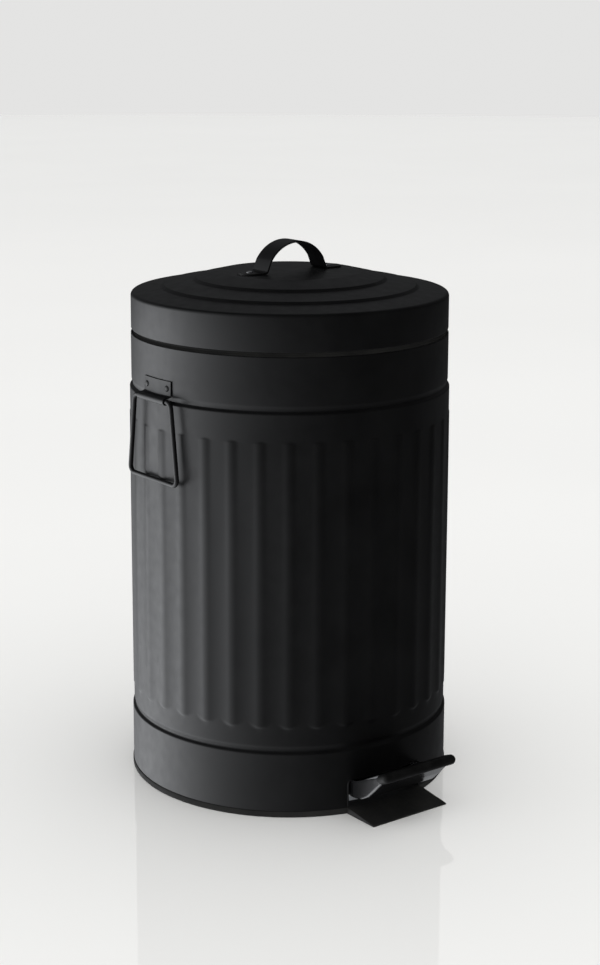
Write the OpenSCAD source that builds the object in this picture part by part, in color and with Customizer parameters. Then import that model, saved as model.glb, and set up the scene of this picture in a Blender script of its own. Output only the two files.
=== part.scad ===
// Round corrugated pedal bin with an inner bucket.
// Origin: centre of the base on the floor, +Z up, the pedal at -Y, the lid hinge at +Y.

/* [Body] */
// Outer radius of the body's upper band
band_r = 125.2; // [120:0.1:130]
// Height of the body's top edge above the floor
body_top = 357; // [350:1:362]
// How far the lower band stands out past the upper band
lower_step = 2.4; // [0.5:0.1:2.8]
// Sheet thickness of the body
sheet = 0.6; // [0.5:0.1:1]
// Height of the lower bead
low_bead_z = 53; // [48:1:60]
// Height of the upper bead
high_bead_z = 316.6; // [310:0.2:320]
// Number of ribs round the body
rib_count = 36; // [24:6:48]
// How far a rib's crest stands out of the body
rib_height = 2.1; // [1:0.1:2.5]
// Radius of the rounded rib section
rib_r = 11; // [8:1:14]
// Height of the ribs' lower ends
rib_low = 72; // [66:1:80]
// Height of the ribs' upper ends
rib_high = 294; // [280:1:300]

/* [Base and foot] */
// Height of the base ring's visible rim
rim_h = 5; // [4:0.5:7]
// Width of the anti-tip foot
foot_w = 73; // [60:1:90]
// Distance of the foot's front edge from the body's axis
foot_y = 155.2; // [148:0.2:165]
// Height of the bottom plate
floor_z = 36; // [34:1:40]

/* [Lid] */
// Outer radius of the lid
lid_r = 125; // [120:0.5:126]
// Height of the lid skirt's lower edge
skirt_low = 360.3; // [359.5:0.1:362]
// Height of the lid's shoulder
shoulder_z = 388; // [386:0.5:392]
// Radius of the outer step ring
ring_outer_r = 98; // [94:1:102]
// Radius of the inner step ring
ring_inner_r = 73; // [68:1:78]
// How far the lid opens, in degrees
lid_open = 75; // [60:1:78]

/* [Lid handle] */
// Width of the strap
strap_w = 19; // [14:1:24]
// Outer span of the strap's arch
strap_span = 61; // [50:1:70]
// Thickness of the strap
strap_t = 1.3; // [1:0.1:2]
// Height of the strap's crown above the floor
strap_top = 428; // [422:0.5:434]

/* [Side handles] */
// Radius of the wire
wire_r = 1.8; // [1.2:0.1:1.9]
// Half width of the wire handle at its lower bar
loop_half_low = 32.5; // [28:0.5:40]
// Half width of the wire handle at its top
loop_half_top = 24.5; // [23:0.5:28]
// Height of the lower bar's centre
loop_low_z = 254.5; // [245:0.5:270]
// Width of the bracket
bracket_w = 36; // [30:1:38]

/* [Pedal] */
// Half width of the pedal lever
lever_half = 33; // [28:1:34]
// Distance of the pedal's pivot from the body's axis
pivot_y = 108; // [104:1:112]
// Height of the pedal's pivot
pivot_z = 20; // [18:0.5:22]
// How far the pedal turns, in degrees
pedal_turn = 18; // [14:1:20]
// Length of the pad
pad_len = 72; // [71:1:90]

/* [Bucket] */
// Outer radius of the bucket's mouth
bucket_r = 106.6; // [100:0.2:107]
// Outer radius of the bucket's bottom
bucket_low_r = 93; // [85:1:100]
// Wall of the bucket
bucket_wall = 1.6; // [1.2:0.1:2.5]

/* [Hidden] */
$fn = 96;

satin_black = [0.10, 0.10, 0.11];
gloss_black = [0.05, 0.05, 0.05];
plastic_black = [0.08, 0.08, 0.08];
zinc = [0.70, 0.71, 0.73];

bead_out = 0.7;
rib_first = 3;
rib_axis_r = band_r + rib_height - rib_r;
lower_r = band_r + lower_step;

window_half = 35.2;
window_top = 27.5;
foot_tip_h = 1.2;

hinge_y = 130;
hinge_z = 352;
pin_r = 2;
run_gap = 0.05;
notch_half = 12.5;
notch_low = 336;
tongue_t = 2;
tongue_len = 19;
rod_r = 2;
rod_y = 118;
rod_gap = 0.3;
rod_bend = 8;

// Rise of the rod: the tongue swings evenly about level as the lid opens
tongue_reach = hinge_y - rod_y;
tongue_clear = tongue_t / 2 + rod_r + rod_gap;
rod_drop = (tongue_clear + tongue_reach * sin(lid_open / 2)) / cos(lid_open / 2);
rod_rise = 2 * tongue_reach * tan(lid_open / 2);
// The lever's rear arm makes the same rise as it swings evenly about level
arm_t = 2.5;
arm_w = 18;
arm_tip = 1.2;
arm_reach = rod_rise / (2 * tan(pedal_turn / 2));
arm_clear = arm_t / 2 + rod_r + rod_gap;
bar_z = pivot_z + (arm_clear - arm_reach * sin(pedal_turn / 2)) / cos(pedal_turn / 2);
bar_y = -pivot_y + arm_reach;

loop_x = 129.7;
loop_top_z = high_bead_z + 0.4;
loop_bend = 5;
bend_lap = 0.3;
bend_proud = 0.02;
roll_wall = 1;
bracket_top = 331.8;
bracket_t = 1;
rivet_z = 326;
rivet_spread = 6.1;
rivet_hole_r = 1.52;
// Gap between a sheet and a plate riveted on it
skin_gap = 0.02;
hinge_plate_t = 1.5;
hinge_rivet_deg = [-8, 0, 8];
function hinge_rivet_z(a) = a == 0 ? 326 : 341;
lid_rivet_deg = [-2.5, 2.5];
lid_rivet_z = 375;

pad_y = -161.5;
pad_z = 40;
pad_tilt = 22;
tongue_in = 3.5;
hub_r = 4.5;

ledge_z = 358;
neck_r = band_r - 2 * sheet - 0.3;
neck_wall = 2.2;
collar_r = 120.6;
collar_top = 384;
bumper_top = shoulder_z - 0.9;
screw_ring_r = 116.5;
screw_r_thread = 1.7;
screw_hole_r = 1.72;
slot_r = 4;
slot_len = 4;
screw_angles = [60, 120, 210, 330];
disc_z = shoulder_z + 15.8;
foot_reach = 39;
bail_z = 364.4;
bail_r = 104;
bail_wire = 1.5;

// A full ring: the profile's x is the radius, its y the height
module ring(points) {
  rotate_extrude($fn = 180) polygon(points);
}

// A piece of curved sheet, concentric with the body, centred on an azimuth measured from +X
module curved_plate(r_in, thick, half_deg, z_low, z_high, mid) {
  rotate([0, 0, mid - half_deg])
    rotate_extrude(angle = 2 * half_deg, $fn = 180)
      translate([r_in, z_low]) square([thick, z_high - z_low]);
}

// A straight round bar between two points
module bar(a, b, r) {
  d = b - a;
  len = norm(d);
  translate(a) rotate([0, acos(d[2] / len), atan2(d[1], d[0])]) cylinder(h = len, r = r, $fn = 32);
}

function unit(v) = v / norm(v);

// A bent wire in the XY plane: straight runs between points, joined by round bends of one radius
module planar_wire(points, bend, r) {
  last = len(points) - 1;
  back = [for (i = [0:last]) i == 0 || i == last ? 0 : bend / tan(inner_angle(points, i) / 2)];
  for (i = [0:last - 1]) {
    d = unit(points[i + 1] - points[i]);
    // A run that meets a bend reaches a little way into it
    lead = back[i] > 0 ? back[i] - bend_lap : 0;
    tail = back[i + 1] > 0 ? back[i + 1] - bend_lap : 0;
    start = points[i] + d * lead;
    len = norm(points[i + 1] - points[i]) - lead - tail;
    translate([start[0], start[1], 0]) rotate([0, 90, atan2(d[1], d[0])])
      cylinder(h = len, r = r, $fn = 32);
  }
  for (i = [1:last - 1]) {
    gamma = inner_angle(points, i);
    a = unit(points[i - 1] - points[i]);
    b = unit(points[i + 1] - points[i]);
    centre = points[i] + unit(a + b) * bend / sin(gamma / 2);
    from_a = points[i] + a * back[i] - centre;
    from_b = points[i] + b * back[i] - centre;
    first = from_a[0] * from_b[1] - from_a[1] * from_b[0] > 0 ? from_a : from_b;
    translate([centre[0], centre[1], 0]) rotate([0, 0, atan2(first[1], first[0])])
      rotate_extrude(angle = 180 - gamma, $fn = 96) translate([bend, 0]) circle(r = r + bend_proud, $fn = 32);
  }
}

// Angle between the two runs that meet at point i
function inner_angle(points, i) =
  acos(unit(points[i - 1] - points[i]) * unit(points[i + 1] - points[i]));

// Ribs as rounded columns with ball ends, made thinner by cut to hollow them
module rib_columns(cut) {
  for (i = [0:rib_count - 1])
    rotate([0, 0, rib_first - 90 + i * 360 / rib_count]) translate([rib_axis_r, 0, 0]) {
      translate([0, 0, rib_low + 7]) cylinder(h = rib_high - rib_low - 14, r = rib_r - cut, $fn = 48);
      translate([0, 0, rib_low + 7]) sphere(r = rib_r - cut, $fn = 48);
      translate([0, 0, rib_high - 7]) sphere(r = rib_r - cut, $fn = 48);
    }
}

module body_shell() {
  wave_low = rib_low - 8;
  wave_high = rib_high + 8;
  color(satin_black) {
    difference() {
      union() {
        // Lower band, bead and the step up to the ribbed wall
        ring([[lower_r - sheet, rim_h], [lower_r, rim_h], [lower_r, low_bead_z - 3],
          [lower_r + bead_out, low_bead_z - 1], [lower_r + bead_out, low_bead_z + 1],
          [band_r, low_bead_z + 4], [band_r, wave_low], [band_r - sheet, wave_low],
          [band_r - sheet, low_bead_z + 3.5], [lower_r - sheet, low_bead_z - 3]]);
        // Upper band with its bead and the inward hem at the top
        ring([[band_r - sheet, wave_high], [band_r, wave_high], [band_r, high_bead_z - 3],
          [band_r + bead_out, high_bead_z - 1], [band_r + bead_out, high_bead_z + 1],
          [band_r, high_bead_z + 3], [band_r, body_top - 0.5], [band_r - 0.5, body_top],
          [band_r - 2 * sheet, body_top], [band_r - 2 * sheet, body_top - 5],
          [band_r - sheet, body_top - 5]]);
      }
      // Window for the pedal lever
      translate([-window_half, -lower_r - 5, 0]) cube([2 * window_half, 20, window_top]);
      // Slot for the lid's crank tongue
      translate([-notch_half, band_r - 8, notch_low]) cube([2 * notch_half, 20, 40]);
    }
    // Ribbed wall
    difference() {
      union() {
        translate([0, 0, wave_low]) cylinder(h = wave_high - wave_low, r = band_r, $fn = 180);
        rib_columns(0);
      }
      translate([0, 0, wave_low - 1]) cylinder(h = wave_high - wave_low + 2, r = band_r - sheet, $fn = 180);
      rib_columns(sheet);
    }
  }
}

module base_ring() {
  ear_x = 36;
  wall_r = lower_r - sheet - 0.1;
  color(plastic_black) {
    difference() {
      union() {
        // Rim on the floor and the wall that stands inside the body
        ring([[116, 0], [lower_r + 0.6, 0], [lower_r + 0.6, rim_h - 0.1], [wall_r, rim_h - 0.1],
          [wall_r, floor_z - 0.1], [121.5, floor_z - 0.1], [121.5, rim_h], [116, rim_h]]);
        // Anti-tip foot: a wedge that rises towards the body
        rotate([90, 0, 90]) translate([0, 0, -foot_w / 2]) linear_extrude(foot_w)
          polygon([[-foot_y, 0], [-foot_y, foot_tip_h], [-lower_r, rim_h - 0.1],
            [-lower_r + 8, rim_h - 0.1], [-lower_r + 8, 0]]);
        // Screw bosses under the bottom plate
        for (a = screw_angles) rotate([0, 0, a]) translate([screw_ring_r, 0, 0])
          cylinder(h = floor_z - 0.1, r = 6, $fn = 48);
        // Cross member with the bearing ears of the pedal axle
        for (s = [-1, 1]) translate([s * (ear_x + 3) - 3, -pivot_y - 8, 0]) cube([6, 18, pivot_z + 8]);
      }
      // The pedal's way through the wall
      translate([-window_half, -lower_r - 1.5, rim_h]) cube([2 * window_half, 14, 60]);
      // Holes of the axle and of the screws
      translate([-60, -pivot_y, pivot_z]) rotate([0, 90, 0]) cylinder(h = 120, r = pin_r + 0.02, $fn = 48);
      for (a = screw_angles) rotate([0, 0, a]) translate([screw_ring_r, 0, -1]) {
        cylinder(h = floor_z + 2, r = screw_hole_r, $fn = 32);
        cylinder(h = 4, r = 3.6, $fn = 48);
      }
    }
  }
}

module bottom_plate() {
  color(zinc) difference() {
    translate([0, 0, floor_z]) cylinder(h = 1, r = band_r - sheet - 0.3, $fn = 180);
    // Slot for the rod, longer than the rod because its bend comes up into it
    for (y = [rod_y - slot_len, rod_y]) translate([0, y, floor_z - 1]) cylinder(h = 3, r = slot_r, $fn = 48);
    translate([-slot_r, rod_y - slot_len, floor_z - 1]) cube([2 * slot_r, slot_len, 3]);
    for (a = screw_angles) rotate([0, 0, a]) translate([screw_ring_r, 0, floor_z - 1])
      cylinder(h = 3, r = screw_hole_r, $fn = 32);
  }
}

module base_screws() {
  color(zinc) for (a = screw_angles) rotate([0, 0, a]) translate([screw_ring_r, 0, 0.6]) {
    cylinder(h = floor_z + 2, r = screw_r_thread, $fn = 32);
    cylinder(h = 2.4, r = 3.4, $fn = 48);
    translate([0, 0, floor_z + 0.4]) cylinder(h = 2, r = 3, $fn = 6);
  }
}

module neck_ring() {
  color(plastic_black) difference() {
    // Ledge for the bucket, foot inside the body, and the collar that tapers up inside the lid
    ring([[107.4, ledge_z - 2], [neck_r - neck_wall, ledge_z - 2], [neck_r - neck_wall, 342], [neck_r, 342],
      [neck_r, body_top], [neck_r - 1.4, body_top + 1.5], [collar_r, collar_top],
      [collar_r - neck_wall, collar_top], [neck_r - 1.4 - neck_wall, ledge_z], [107.4, ledge_z]]);
    translate([-notch_half, 104, 330]) cube([2 * notch_half, 30, 60]);
  }
}

module lid_bumpers() {
  pad_deg = 3;
  color(plastic_black) for (a = [-30, 70, 110, 210])
    curved_plate(collar_r - neck_wall, neck_wall, pad_deg, collar_top, bumper_top, a);
}

module handle_bracket() {
  half_deg = asin(bracket_w / 2 / band_r);
  color(satin_black) difference() {
    union() {
      curved_plate(band_r + skin_gap, bracket_t, half_deg, loop_top_z + 3.4, bracket_top, 0);
      // Flange from the plate out to the roll
      translate([band_r + 0.4, -bracket_w / 2 + 1, loop_top_z + 0.6])
        cube([loop_x - band_r, bracket_w - 2, roll_wall + 1.9 + 0.6]);
      translate([loop_x, bracket_w / 2 - 1, loop_top_z]) rotate([90, 0, 0])
        cylinder(h = bracket_w - 2, r = wire_r + run_gap + roll_wall, $fn = 48);
    }
    translate([0, 0, loop_top_z - 10]) cylinder(h = 30, r = band_r + skin_gap, $fn = 180);
    translate([loop_x, 30, loop_top_z]) rotate([90, 0, 0]) cylinder(h = 60, r = wire_r + run_gap, $fn = 48);
    translate([0, 0, loop_top_z - 6]) cylinder(h = 6 + 3, r = band_r + bead_out + 0.05, $fn = 180);
    for (a = [-rivet_spread, rivet_spread]) rotate([0, 0, a]) translate([band_r - 3, 0, rivet_z])
      rotate([0, 90, 0]) cylinder(h = 8, r = rivet_hole_r, $fn = 32);
  }
}

module handle_bracket_left() { rotate([0, 0, 180]) handle_bracket(); }
module handle_bracket_right() { handle_bracket(); }

// A rivet with a domed head, along +X from the origin outwards
module rivet(shank, head_r, head_h) {
  rotate([0, 90, 0]) {
    translate([0, 0, -shank]) cylinder(h = shank, r = 1.5, $fn = 32);
    intersection() {
      cylinder(h = head_h, r = head_r, $fn = 32);
      translate([0, 0, head_h - head_r * 1.3]) sphere(r = head_r * 1.3, $fn = 32);
    }
  }
}

module handle_rivets() {
  color(satin_black) for (side = [0, 180], a = [-rivet_spread, rivet_spread])
    rotate([0, 0, side + a]) translate([band_r + skin_gap + bracket_t, 0, rivet_z])
      rivet(bracket_t, 2.4, 1.1);
}

module wire_handle() {
  z0 = loop_top_z;
  z1 = loop_low_z;
  color(satin_black) translate([loop_x, 0, 0]) rotate([90, 0, 90])
    planar_wire([[0, z0], [loop_half_top, z0], [loop_half_low, z1], [-loop_half_low, z1],
      [-loop_half_top, z0], [0, z0]], loop_bend, wire_r);
}

module handle_left() { rotate([0, 0, 180]) wire_handle(); }
module handle_right() { wire_handle(); }

module hinge_bracket() {
  ear_x = 11.5;
  color(satin_black) difference() {
    union() {
      curved_plate(band_r + skin_gap, hinge_plate_t, 10, 320, 346, 90);
      for (s = [-1, 1]) translate([s * (ear_x + 1) - 1, 0, 0]) {
        translate([0, hinge_y, hinge_z]) rotate([0, 90, 0]) cylinder(h = 2, r = 4.8, $fn = 48);
        rotate([90, 0, 90]) linear_extrude(2)
          polygon([[125.6, 322], [hinge_y + 1, 334], [hinge_y + 4.6, 350], [hinge_y - 3, 353], [125.6, 344]]);
      }
    }
    translate([-30, hinge_y, hinge_z]) rotate([0, 90, 0]) cylinder(h = 60, r = pin_r + 0.02, $fn = 48);
    translate([0, 0, 318]) cylinder(h = 40, r = band_r + skin_gap, $fn = 180);
    for (a = hinge_rivet_deg) rotate([0, 0, 90 + a]) translate([band_r - 3, 0, hinge_rivet_z(a)])
      rotate([0, 90, 0]) cylinder(h = 8, r = rivet_hole_r, $fn = 32);
  }
}

module hinge_rivets() {
  color(satin_black) for (a = hinge_rivet_deg)
    rotate([0, 0, 90 + a]) translate([band_r + skin_gap + hinge_plate_t, 0, hinge_rivet_z(a)])
      rivet(hinge_plate_t, 2.4, 1.1);
}

module hinge_pin() {
  color(zinc) translate([0, hinge_y, hinge_z]) rotate([0, 90, 0]) {
    translate([0, 0, -15]) cylinder(h = 30, r = pin_r, $fn = 48);
    for (z = [-16, 14.2]) translate([0, 0, z]) cylinder(h = 1.8, r = 3, $fn = 48);
  }
}

module rod_guide(z) {
  color(plastic_black) difference() {
    union() {
      translate([0, rod_y, z]) cylinder(h = 12, r = 4.2, $fn = 48);
      translate([-5, rod_y, z]) cube([10, band_r - sheet - rod_y - 0.3, 12]);
    }
    translate([0, rod_y, z - 1]) cylinder(h = 14, r = rod_r + 0.08, $fn = 48);
  }
}

module rod_guide_lower() { rod_guide(58); }
module rod_guide_upper() { rod_guide(300); }

module pedal_axle() {
  color(zinc) translate([-43, -pivot_y, pivot_z]) rotate([0, 90, 0]) {
    cylinder(h = 86, r = pin_r, $fn = 48);
    for (z = [-1.2, 85.2]) translate([0, 0, z]) cylinder(h = 2, r = 3.2, $fn = 48);
  }
}

module lid_shell() {
  t = sheet;
  // Outer outline from the skirt's foot to the middle, with round steps
  top = [[lid_r - 2.4, shoulder_z - 0.3], [ring_outer_r + 3, shoulder_z + 3.6],
    [ring_outer_r + 1.2, shoulder_z + 5.2], [ring_outer_r - 0.8, shoulder_z + 5.6],
    [ring_inner_r + 3, shoulder_z + 9.0], [ring_inner_r + 1.2, shoulder_z + 10.6],
    [ring_inner_r - 0.8, shoulder_z + 11.0], [58, disc_z - 0.9], [52, disc_z], [0, disc_z]];
  under = [for (i = [len(top) - 1:-1:0]) [top[i][0], top[i][1] - t]];
  color(satin_black) difference() {
    ring(concat([[lid_r, skirt_low + 0.6], [lid_r, shoulder_z - 2.8], [lid_r - 0.7, shoulder_z - 1.1]],
      top, under, [[lid_r - t, shoulder_z - 2.8], [lid_r - t, skirt_low + 3],
        [lid_r - 2 * t, skirt_low + 2.6], [lid_r - 2 * t, skirt_low], [lid_r - 0.4, skirt_low]]));
    for (s = [-1, 1]) translate([s * foot_reach, 0, shoulder_z]) cylinder(h = 30, r = rivet_hole_r, $fn = 32);
    for (a = lid_rivet_deg) rotate([0, 0, 90 + a]) translate([lid_r - 5, 0, lid_rivet_z])
      rotate([0, 90, 0]) cylinder(h = 10, r = rivet_hole_r, $fn = 32);
  }
}

module lid_handle() {
  seat_z = disc_z + 0.02;
  arch_r = strap_span / 2;
  arch_z = strap_top - arch_r;
  color(satin_black) difference() {
    union() {
      // Arch: the part of a round hoop that stands above the feet
      intersection() {
        translate([0, strap_w / 2, arch_z]) rotate([90, 0, 0]) difference() {
          cylinder(h = strap_w, r = arch_r, $fn = 96);
          translate([0, 0, -1]) cylinder(h = strap_w + 2, r = arch_r - strap_t, $fn = 96);
        }
        translate([-arch_r - 1, -strap_w, seat_z + 0.4]) cube([2 * arch_r + 2, 2 * strap_w, strap_span]);
      }
      for (m = [0, 1]) mirror([m, 0, 0]) {
        translate([arch_r - 3, -strap_w / 2, seat_z]) cube([foot_reach - arch_r + 3, strap_w, strap_t]);
        translate([foot_reach, 0, seat_z]) cylinder(h = strap_t, r = strap_w / 2, $fn = 48);
      }
    }
    for (s = [-1, 1]) translate([s * foot_reach, 0, shoulder_z]) cylinder(h = 30, r = rivet_hole_r, $fn = 32);
  }
}

module lid_handle_rivets() {
  color(zinc) for (s = [-1, 1]) translate([s * foot_reach, 0, disc_z + 0.04 + strap_t])
    rotate([0, -90, 0]) rivet(2.6, 2.8, 1.3);
}

module lid_hinge_plate() {
  ear_x = 8.5;
  color(satin_black) difference() {
    union() {
      curved_plate(lid_r + skin_gap, hinge_plate_t, 5.5, 363, 382, 90);
      for (s = [-1, 1]) translate([s * (ear_x + 1) - 1, 0, 0]) {
        translate([0, hinge_y, hinge_z]) rotate([0, 90, 0]) cylinder(h = 2, r = 4.5, $fn = 48);
        rotate([90, 0, 90]) linear_extrude(2)
          polygon([[125.6, 381], [hinge_y, 372], [hinge_y + 4.5, 352], [hinge_y - 4.4, 352], [125.3, 362]]);
      }
      // Crank tongue, half the lid's travel below level
      translate([0, hinge_y, hinge_z]) rotate([lid_open / 2, 0, 0])
        translate([-ear_x - 2, -tongue_len, -tongue_t / 2]) cube([2 * ear_x + 4, tongue_len, tongue_t]);
    }
    translate([-30, hinge_y, hinge_z]) rotate([0, 90, 0]) cylinder(h = 60, r = pin_r + run_gap, $fn = 48);
    translate([0, 0, skirt_low]) cylinder(h = 60, r = lid_r + skin_gap, $fn = 180);
    for (a = lid_rivet_deg) rotate([0, 0, 90 + a]) translate([lid_r - 5, 0, lid_rivet_z])
      rotate([0, 90, 0]) cylinder(h = 10, r = rivet_hole_r, $fn = 32);
  }
}

module lid_hinge_rivets() {
  color(satin_black) for (a = lid_rivet_deg)
    rotate([0, 0, 90 + a]) translate([lid_r + skin_gap + hinge_plate_t, 0, lid_rivet_z]) rivet(2.6, 2.4, 1.1);
}

// Lower edge of the pedal lever from the pad to the pivot, as [y, z], and its upper edge back again
belly = [[-165, 38.5], [-159, 34], [-152, 26.5], [-144, 19], [-136, 14.5], [-128, 13], [-114, 12.4]];
crest = [[-106, 12.4], [-99, 16.5], [-101, 23], [-112, 26], [-126, 26.4], [-150, 36.6], [-163, 41]];
// Section of the web that joins the two flanges just inside their lower edges
web_skin = [0.3, 0.4];
web_depth = [1.1, 1.7];
web = concat([for (p = belly) p + web_skin], [for (i = [len(belly) - 1:-1:0]) belly[i] + web_depth]);

// An outline in the YZ plane given depth along X, centred on X = 0
module side_extrude(depth) {
  rotate([90, 0, 90]) translate([0, 0, -depth / 2]) linear_extrude(depth) children();
}

module pedal_lever() {
  t = 1.5;
  inner = lever_half - 0.4;
  color(gloss_black) difference() {
    union() {
      for (m = [0, 1]) mirror([m, 0, 0])
        translate([lever_half - t / 2, 0, 0]) side_extrude(t) polygon(concat(belly, crest));
      side_extrude(2 * inner) polygon(web);
      // Front tongue that the pad is pushed onto
      translate([0, pad_y, pad_z]) rotate([-pad_tilt, 0, 0])
        translate([-inner, -tongue_in, -t / 2]) cube([2 * inner, tongue_in + 2, t]);
      // Rear arm, half the pedal's travel below level, and its hub round the axle
      translate([-arm_w / 2, -pivot_y, pivot_z]) rotate([-pedal_turn / 2, 0, 0])
        translate([0, 0, -arm_t / 2]) cube([arm_w, arm_reach / cos(pedal_turn / 2) + arm_tip, arm_t]);
      translate([-inner, -pivot_y, pivot_z]) rotate([0, 90, 0])
        cylinder(h = 2 * inner, r = hub_r, $fn = 48);
      // Stiffener between the web and the hub
      translate([-10, -pivot_y - 10, 13]) cube([20, 12, 5]);
    }
    translate([-60, -pivot_y, pivot_z]) rotate([0, 90, 0]) cylinder(h = 120, r = pin_r + run_gap, $fn = 48);
  }
}

module pedal_pad() {
  r = 3.9;
  spread = 2.5;
  color(plastic_black) translate([0, pad_y, pad_z]) rotate([-pad_tilt, 0, 0]) difference() {
    hull() for (x = [-1, 1], y = [-spread, spread])
      translate([x * (pad_len / 2 - r), y, 0]) sphere(r = r, $fn = 28);
    // Slot for the lever's tongue, with room for the flanges and the web behind it
    side_extrude(2 * lever_half + 0.2)
      polygon([[-3.7, -0.9], [-3.7, 0.9], [-2.2, 1.2], [9, 1.2], [9, -6.4], [5, -5.2],
        [-3.0, -3.0], [-3.0, -0.9]]);
  }
}

module lift_rod() {
  top_z = hinge_z - rod_drop;
  color(zinc) {
    // Cross bar on the lever's arm, then the run to the rear and up the rear wall
    bar([-8, bar_y, bar_z], [8, bar_y, bar_z], rod_r + bend_proud);
    rotate([90, 0, 90]) planar_wire([[bar_y, bar_z], [rod_y, bar_z], [rod_y, top_z]], rod_bend, rod_r);
    translate([0, rod_y, top_z]) sphere(r = rod_r + bend_proud, $fn = 32);
  }
}

module bucket() {
  low_z = floor_z + 4;
  rim_z = ledge_z + 0.05;
  w = bucket_wall;
  color(plastic_black) difference() {
    union() {
      ring([[0, low_z], [bucket_low_r - 3, low_z], [bucket_low_r, low_z + 3], [bucket_r, rim_z],
        [110.4, rim_z], [110.4, rim_z + 2], [bucket_r - w, rim_z + 2], [bucket_low_r - w, low_z + 4],
        [bucket_low_r - w - 2.4, low_z + w], [0, low_z + w]]);
      // Ears of the bail
      for (s = [-1, 1]) translate([s * 109, 0, rim_z + 1.5]) {
        translate([-1.2, -6, 0]) cube([2.4, 12, bail_z - rim_z - 1.5]);
        translate([-1.2, 0, bail_z - rim_z - 1.5]) rotate([0, 90, 0]) cylinder(h = 2.4, r = 6, $fn = 48);
      }
    }
    translate([-120, 0, bail_z]) rotate([0, 90, 0]) cylinder(h = 240, r = bail_wire + run_gap, $fn = 48);
  }
}

module bucket_bail() {
  hook = 3;
  color(zinc) translate([0, 0, bail_z]) {
    // Half hoop that lies round the front of the bucket's rim
    translate([0, -hook, 0]) rotate([0, 0, 180]) rotate_extrude(angle = 180, $fn = 180)
      translate([bail_r, 0]) circle(r = bail_wire, $fn = 32);
    // Hooked ends through the bucket's ears
    for (m = [0, 1]) mirror([m, 0, 0]) {
      translate([bail_r + hook, -hook, 0]) rotate([0, 0, 90]) rotate_extrude(angle = 90, $fn = 96)
        translate([hook, 0]) circle(r = bail_wire, $fn = 32);
      translate([bail_r + hook, 0, 0]) rotate([0, 90, 0]) cylinder(h = 4, r = bail_wire, $fn = 32);
    }
  }
}

body_shell();
base_ring();
bottom_plate();
base_screws();
neck_ring();
lid_bumpers();
handle_bracket_left();
handle_bracket_right();
handle_rivets();
hinge_bracket();
hinge_rivets();
hinge_pin();
rod_guide_lower();
rod_guide_upper();
pedal_axle();
lid_shell();
lid_handle();
lid_handle_rivets();
lid_hinge_plate();
lid_hinge_rivets();
pedal_lever();
pedal_pad();
lift_rod();
handle_left();
handle_right();
bucket();
bucket_bail();
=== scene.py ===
"""Looks of the round corrugated pedal bin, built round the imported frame.

Lengths in the dimension blocks are millimetres; MM turns them into Blender's metres.
The can stands on z = 0 with its pedal at -Y and its lid hinge at +Y.
"""
import math

import bmesh
import bpy
from mathutils import Matrix, Vector


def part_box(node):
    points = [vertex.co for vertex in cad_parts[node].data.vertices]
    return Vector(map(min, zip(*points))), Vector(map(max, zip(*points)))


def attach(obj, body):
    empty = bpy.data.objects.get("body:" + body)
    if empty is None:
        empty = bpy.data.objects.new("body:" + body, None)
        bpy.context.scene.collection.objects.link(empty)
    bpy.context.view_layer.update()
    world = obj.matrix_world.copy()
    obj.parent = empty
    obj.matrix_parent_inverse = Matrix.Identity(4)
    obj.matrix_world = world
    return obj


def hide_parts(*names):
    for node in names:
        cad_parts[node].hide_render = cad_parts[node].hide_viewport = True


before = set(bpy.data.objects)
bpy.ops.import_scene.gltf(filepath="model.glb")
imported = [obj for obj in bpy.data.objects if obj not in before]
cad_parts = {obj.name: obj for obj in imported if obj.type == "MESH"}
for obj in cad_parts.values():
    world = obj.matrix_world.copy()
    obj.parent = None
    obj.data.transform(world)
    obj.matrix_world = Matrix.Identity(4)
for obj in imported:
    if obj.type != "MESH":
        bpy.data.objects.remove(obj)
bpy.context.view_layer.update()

MM = 0.001
TAU = 2 * math.pi


def low(node):
    """Lowest corner of a CAD node, in millimetres."""
    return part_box(node)[0] / MM


def high(node):
    """Highest corner of a CAD node, in millimetres."""
    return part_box(node)[1] / MM


# --- Dimensions ------------------------------------------------------------------------------
# Body: a plain lower band, a groove, the ribbed wall, a groove and a plain upper band
SHEET = 0.6
BODY_LOW = low("body_shell").z
BODY_TOP = high("body_shell").z
BAND_R = 125.2
LOWER_R = 127.6
WALL_R = 126.5
LOW_GROOVE_Z = 53.0
HIGH_GROOVE_Z = 316.6
GROOVE_IN = 1.0
GROOVE_RISE = 4.6
GROOVE_FALL = 2.6
HEM_R = 0.7

# Ribs; across a rib, the ridge takes its share of the half pitch and the hollow flute the rest
RIBS = 36
RIB_FIRST = math.radians(3)
RIB_OUT = 0.9
RIB_LOW = 70.0
RIB_HIGH = 294.0
RIB_END = 2.6
RIB_ROUND = 6.0
RIDGE_SHARE = 0.3
STEPS_PER_RIB = 20

# Openings in the body: the pedal's window in front and the crank's notch behind
WINDOW_HALF = 35.2
WINDOW_LOW = 1.0
WINDOW_TOP = 27.5
WINDOW_ROUND = 4.0
NOTCH_HALF = 12.5
NOTCH_LOW = 336.0
NOTCH_ROUND = 2.0

# Lid; each step goes from its foot up to its crest, as radius and height above the shoulder
LID_R = high("lid_shell").x
SKIRT_LOW = low("lid_shell").z
DISC_Z = high("lid_shell").z
SHOULDER_Z = DISC_Z - 15.8
SHOULDER_ROUND = 3.2
LID_HEM_T = 1.25
LID_HEM_H = 3.2
LID_STEPS = (((101.4, 3.7), (99.0, 6.0)), ((76.4, 9.1), (74.0, 11.4)))
DISC_R = 55.0

# Strap on the lid
STRAP_HALF = high("lid_handle").y
STRAP_T = 1.3
STRAP_GAP = 0.05
ARCH_R = 30.5
ARCH_LIFT = 1.2
FOOT_REACH = high("lid_handle").x - STRAP_HALF

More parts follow.
